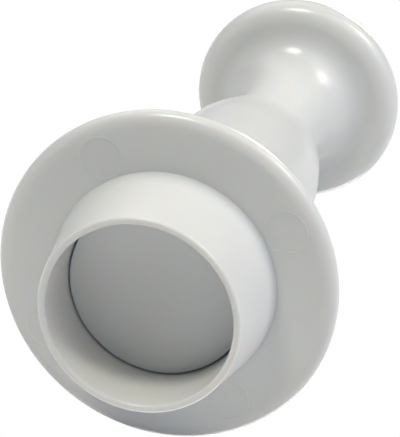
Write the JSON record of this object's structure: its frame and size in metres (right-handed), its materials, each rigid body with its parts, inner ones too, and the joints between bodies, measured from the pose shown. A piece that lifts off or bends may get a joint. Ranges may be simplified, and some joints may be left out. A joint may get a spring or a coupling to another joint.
{
  "type": "plunger cutter",
  "caption": "Round pastry cutter with a finger flange and a sprung, waisted palm knob whose skirt slides over a guide tube and pushes an ejector disc through the cutting collar.",
  "frame": {"origin": "centre of the cutting edge's plane, on which the cutter stands", "axes": "+Z along the plunger's axis from the cutting edge to the palm knob; the cutter is round, so +X and +Y are free apart from the flats on the rod, which face +Y and -Y"},
  "size_m": [0.0426, 0.0426, 0.0815],
  "materials": {
    "body_plastic": "satin moulded",
    "disc_plastic": "satin moulded",
    "knob_plastic": "satin moulded",
    "spring_steel": "drawn wire"
  },
  "bodies": {
    "cutter": {"cutter_body": "body_plastic", "return_spring": "spring_steel"},
    "plunger": {"push_knob": "knob_plastic", "ejector_disc": "disc_plastic"}
  },
  "joints": [
    {"name": "plunger_slide", "type": "slide", "parent": "cutter", "child": "plunger", "axis": [0, 0, -1], "range_m": [0, 0.0096], "stiffness_N_per_m": 400, "springref_m": -0.008, "deforming": ["return_spring"]}
  ]
}
